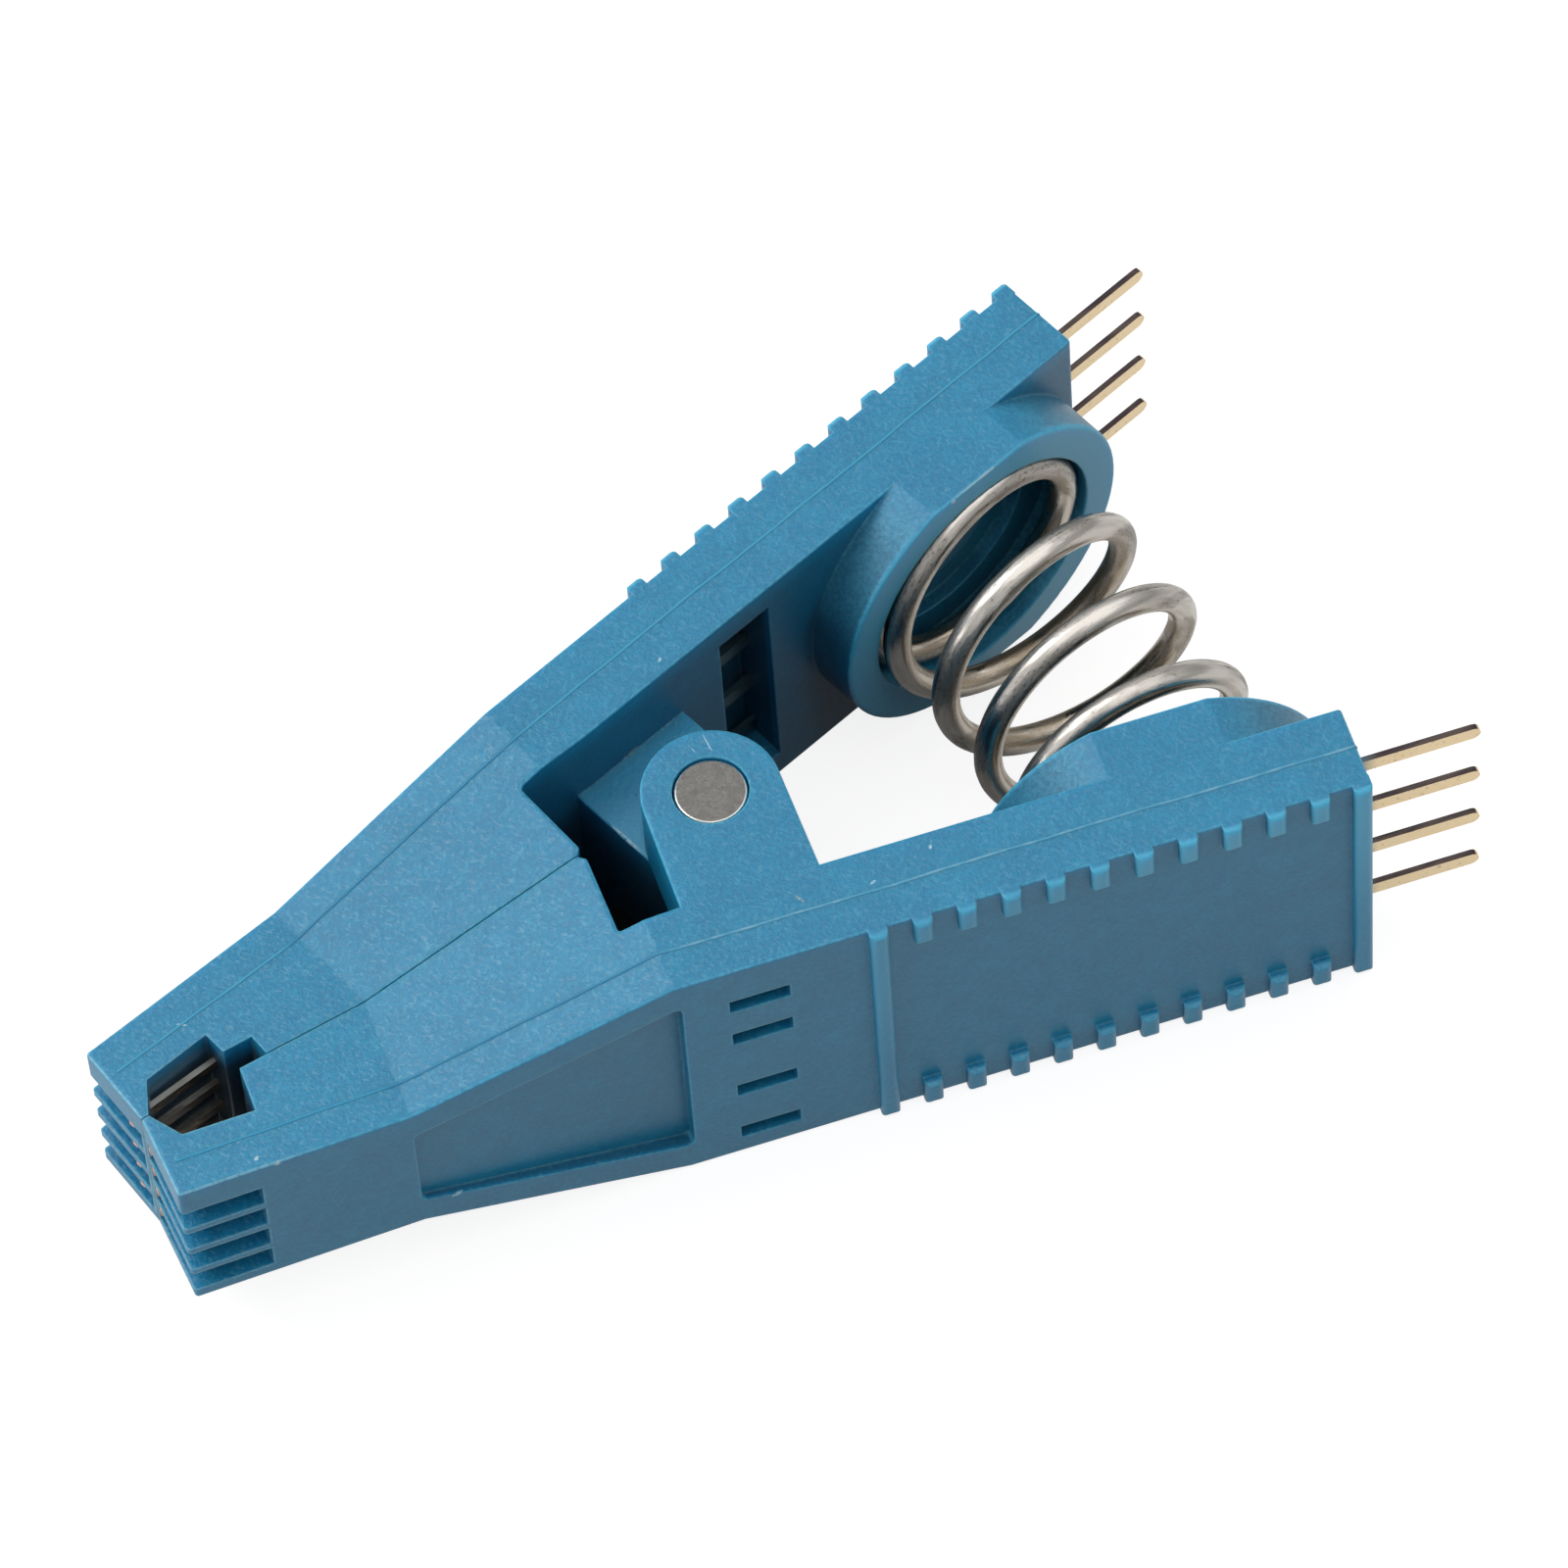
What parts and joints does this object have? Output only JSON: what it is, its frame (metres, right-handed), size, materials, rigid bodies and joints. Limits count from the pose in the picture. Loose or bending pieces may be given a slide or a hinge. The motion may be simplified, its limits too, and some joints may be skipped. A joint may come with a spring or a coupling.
{
  "type": "ic test clip",
  "caption": "Sprung test clip with two hinged moulded arms that close contact strips onto the leads of a small outline chip, with pins for sockets at its tails.",
  "frame": {"origin": "centre of the footprint, on the side face that the clip lies on", "axes": "+X from the jaw tips to the tail pins, +Y from the arm with two ears to the arm with one lug, +Z along the hinge pin"},
  "size_m": [0.0429, 0.0224, 0.0111],
  "materials": {
    "moulding": "fine matt blue moulding with faint flow marks",
    "pin_steel": "sheared and dull on the end face",
    "spring_steel": "drawn wire, streaked along its length",
    "contact_gold": "thin gold plate on stamped strip, darker on the sheared edges"
  },
  "bodies": {
    "clevis_side": {"clevis_arm": "moulding", "hinge_pin": "pin_steel", "coil_spring": "spring_steel", "clevis_contact_1": "contact_gold", "clevis_contact_2": "contact_gold", "clevis_contact_3": "contact_gold", "clevis_contact_4": "contact_gold"},
    "tongue_side": {"tongue_arm": "moulding", "tongue_contact_1": "contact_gold", "tongue_contact_2": "contact_gold", "tongue_contact_3": "contact_gold", "tongue_contact_4": "contact_gold"}
  },
  "joints": [
    {"name": "jaw_hinge", "type": "hinge", "parent": "clevis_side", "child": "tongue_side", "pos_m": [-0.00069, -0.0003, 0.00555], "axis": [0, 0, -1], "range_deg": [0, 20], "stiffness_Nm_per_rad": 0.67, "springref_deg": -5.73, "deforming": ["coil_spring"]}
  ]
}
